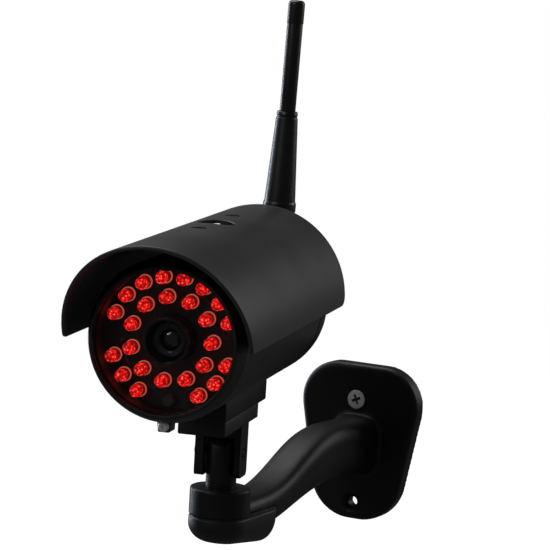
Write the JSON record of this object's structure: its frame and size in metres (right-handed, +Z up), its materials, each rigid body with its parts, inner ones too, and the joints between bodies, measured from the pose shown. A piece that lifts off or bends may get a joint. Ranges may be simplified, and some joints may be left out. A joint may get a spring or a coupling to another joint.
{
  "type": "security camera",
  "caption": "Bullet security camera with a sunshield, a ring-lit window and a folding antenna, on a pan and tilt wall bracket.",
  "frame": {"origin": "centre of the wall plate's back face", "axes": "+Y into the wall, +Z up, the bracket arm reaches out along -Y"},
  "size_m": [0.1109, 0.2574, 0.2348],
  "materials": {
    "black_coat": "black satin powder coat",
    "shield_coat": "black satin powder coat, fine texture",
    "black_plastic": "moulded, fine grain",
    "gloss_black": "polished",
    "black_screw": "black oxide",
    "steel": "nickel plated",
    "rubber": "matt",
    "window": "clear, polished",
    "circuit_board": "black solder mask",
    "red_lamp": "translucent red lens",
    "chip": "small ceramic parts",
    "lens": "coated dark glass",
    "brass": "plated",
    "aluminium": "satin",
    "dark_metal": "dark plated",
    "antenna_plastic": "soft-touch overmould"
  },
  "bodies": {
    "bracket": {"wall_bracket": "black_coat", "arm_end_cover": "black_plastic", "cover_screw": "black_screw", "pan_washer": "steel"},
    "post": {"swivel_post": "black_coat", "pan_bolt": "steel"},
    "camera": {"tilt_yoke": "black_coat", "tilt_screw": "black_screw", "tilt_nut": "black_screw", "mounting_rail": "black_coat", "slide_block": "black_plastic", "rail_screws": "black_screw", "housing_tube": "black_coat", "rear_cap": "black_coat", "rear_gasket": "rubber", "cap_screws": "steel", "cable_gland": "black_plastic", "front_bezel": "black_plastic", "bezel_lug": "black_plastic", "bezel_screw": "steel", "window_gasket": "rubber", "window_glass": "window", "glass_retainer": "black_plastic", "led_board": "circuit_board", "outer_leds": "red_lamp", "inner_leds": "red_lamp", "board_resistors": "chip", "light_sensor": "chip", "lens_shroud": "gloss_black", "lens_barrel": "black_plastic", "lens_glass": "lens", "lens_holder": "black_plastic", "sensor_board": "circuit_board", "image_sensor": "chip", "board_pillars": "brass", "board_screws": "steel", "inner_sled": "aluminium", "main_board": "circuit_board", "main_board_pillars": "brass", "main_board_screws": "steel", "radio_can": "aluminium", "capacitors": "aluminium", "sunshield": "shield_coat", "shield_spacers": "black_plastic", "shield_screws": "black_screw", "top_socket": "dark_metal", "antenna_jack": "brass", "jack_nut": "brass", "antenna_nut": "brass"},
    "antenna_elbow": {"antenna_base": "antenna_plastic", "antenna_pin": "steel"},
    "antenna": {"antenna_sleeve": "antenna_plastic", "antenna_rod": "antenna_plastic", "antenna_cap": "antenna_plastic"}
  },
  "joints": [
    {"name": "pan", "type": "hinge", "parent": "bracket", "child": "post", "pos_m": [0, -0.133, 0], "axis": [0, 0, 1], "range_deg": [-104, 76]},
    {"name": "tilt", "type": "hinge", "parent": "post", "child": "camera", "pos_m": [0, -0.133, 0.014], "axis": [0.9703, 0.2419, 0], "range_deg": [-25, 70]},
    {"name": "antenna_swivel", "type": "hinge", "parent": "camera", "child": "antenna_elbow", "pos_m": [-0.01282, -0.08157, 0.093], "axis": [-0.2419, 0.9703, 0], "continuous": true},
    {"name": "antenna_fold", "type": "hinge", "parent": "antenna_elbow", "child": "antenna", "pos_m": [-0.01737, -0.06333, 0.093], "axis": [0.9699, 0.2418, -0.0297], "range_deg": [-90, 0]}
  ]
}
